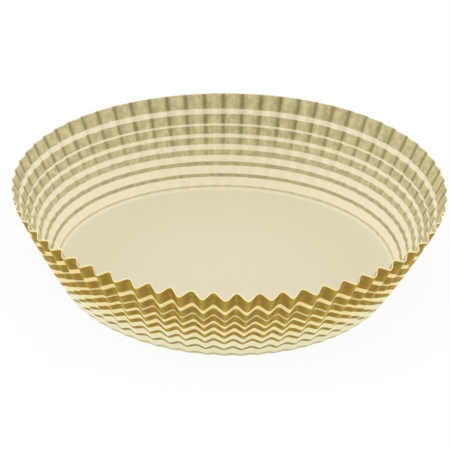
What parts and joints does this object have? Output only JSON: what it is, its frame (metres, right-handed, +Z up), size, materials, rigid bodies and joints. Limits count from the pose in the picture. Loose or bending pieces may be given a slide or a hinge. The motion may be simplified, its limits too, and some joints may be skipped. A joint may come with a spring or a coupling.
{
  "type": "paper baking case",
  "caption": "Shallow round paper baking case with a flat floor and a flared, pleated wall, open at the top and printed with rings of gold on cream.",
  "frame": {"origin": "middle of the underside of the floor", "axes": "+Z up, out of the open mouth; -Y towards the viewer of the picture; +X to the viewer's right"},
  "size_m": [0.0955, 0.0987, 0.0217],
  "materials": {
    "printed_paper": "cream greaseproof paper, matte, with gold rings printed on the outside"
  },
  "bodies": {
    "root": {"paper_case": "printed_paper"}
  },
  "joints": []
}
